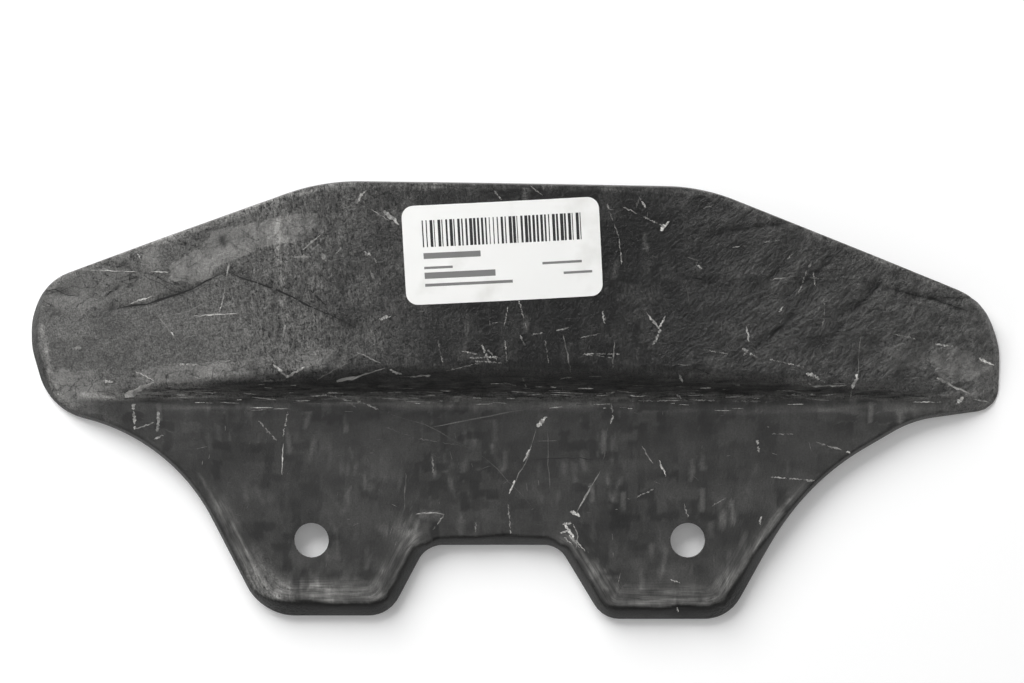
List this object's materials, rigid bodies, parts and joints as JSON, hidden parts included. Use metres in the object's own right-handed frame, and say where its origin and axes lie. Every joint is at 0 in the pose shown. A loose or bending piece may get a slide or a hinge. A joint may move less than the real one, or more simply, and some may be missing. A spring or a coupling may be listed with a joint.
{
  "type": "chain guard",
  "caption": "Moulded carbon laminate chain guard for a motorcycle rear sprocket: flat plate with drilled lugs, a steep step and an arched hood, with a paper label.",
  "frame": {"origin": "midway between the two bolt holes, on the inner face of the flat plate", "axes": "+X along the guard, +Y from the lugs to the hood, +Z out of the inner face along the bolts"},
  "size_m": [0.2016, 0.0902, 0.023],
  "materials": {
    "carbon_laminate": "bag side of a carbon and epoxy laminate, dull; mould side clear and glossy",
    "label_paper": "white label paper, matt"
  },
  "bodies": {
    "root": {"chain_guard": "carbon_laminate", "label": "label_paper"}
  },
  "joints": []
}
